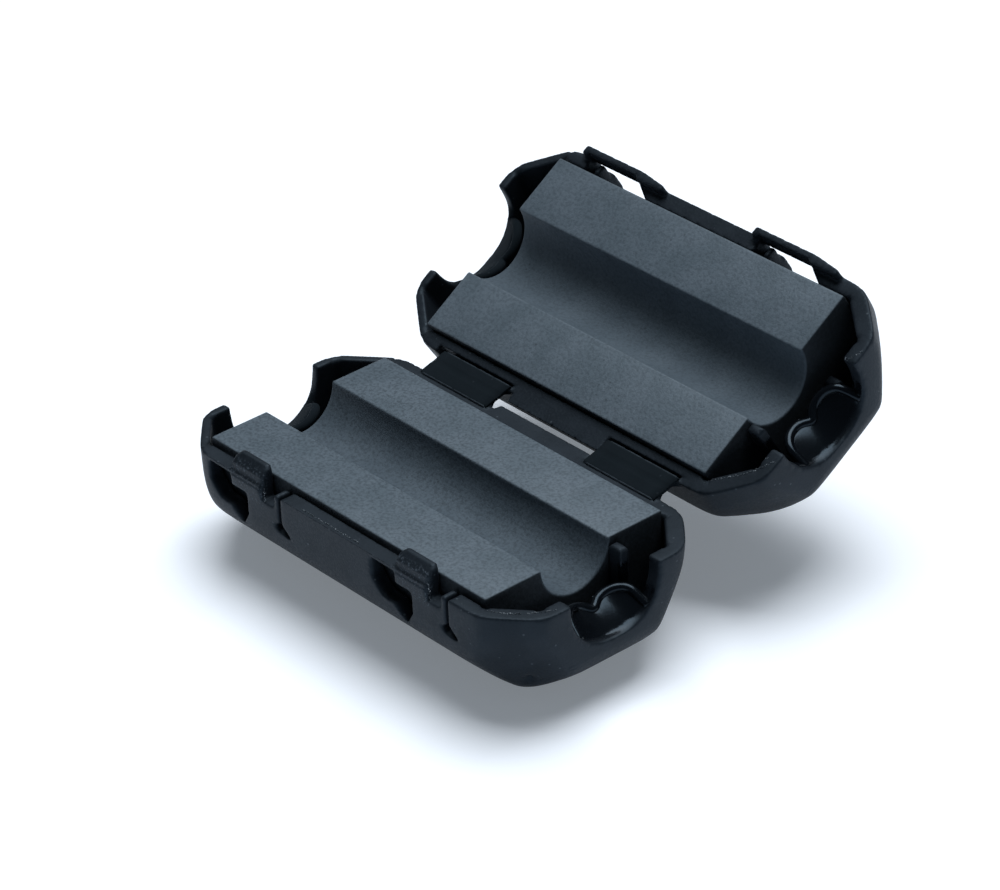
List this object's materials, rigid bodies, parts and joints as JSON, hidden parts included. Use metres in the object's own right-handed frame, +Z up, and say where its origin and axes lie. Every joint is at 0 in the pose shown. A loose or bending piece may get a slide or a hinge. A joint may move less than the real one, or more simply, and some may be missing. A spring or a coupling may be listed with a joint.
{
  "type": "clip on ferrite bead",
  "caption": "Clip-on ferrite bead for a 5 mm cable, open: ferrite half-cores in a black nylon housing with strap hinge, snap loops and hooks.",
  "frame": {"origin": "middle of the cable groove, in the mating plane of the lower half", "axes": "+X along the cable groove, +Y towards the hinge and the opened lid, +Z up out of the lower core's mating face"},
  "size_m": [0.0316, 0.0326, 0.0174],
  "materials": {
    "housing": "satin",
    "ferrite": "matte"
  },
  "bodies": {
    "base": {"base_shell": "housing", "lower_core": "ferrite", "hinge_web_left": "housing", "hinge_web_right": "housing"},
    "lid": {"lid_shell": "housing", "upper_core": "ferrite"}
  },
  "joints": [
    {"name": "lid_hinge", "type": "hinge", "parent": "base", "child": "lid", "pos_m": [0, 0.00863, 0], "axis": [1, 0, 0], "range_deg": [-32, 147.16], "deforming": ["hinge_web_left", "hinge_web_right"]}
  ]
}
